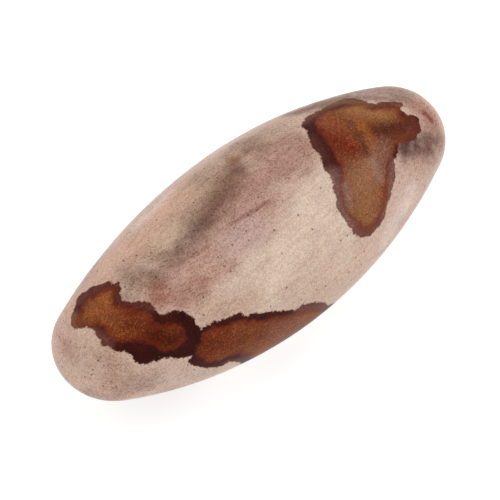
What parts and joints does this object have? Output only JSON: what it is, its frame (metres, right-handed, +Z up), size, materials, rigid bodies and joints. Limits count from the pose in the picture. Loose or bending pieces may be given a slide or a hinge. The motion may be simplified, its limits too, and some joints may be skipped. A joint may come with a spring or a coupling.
{
  "type": "shiva lingam stone",
  "caption": "Smooth long oval stone of pale pinkish sandstone with red-brown iron-stained patches, to hold in the hand or set on a table.",
  "frame": {"origin": "on the table, under the centre of the stone's box, on the small flat worn into its underside", "axes": "+X along the stone, tip to tip, +Z up"},
  "size_m": [0.1, 0.0394, 0.0379],
  "materials": {
    "stone": "hand-rubbed satin"
  },
  "bodies": {
    "root": {"stone": "stone"}
  },
  "joints": []
}
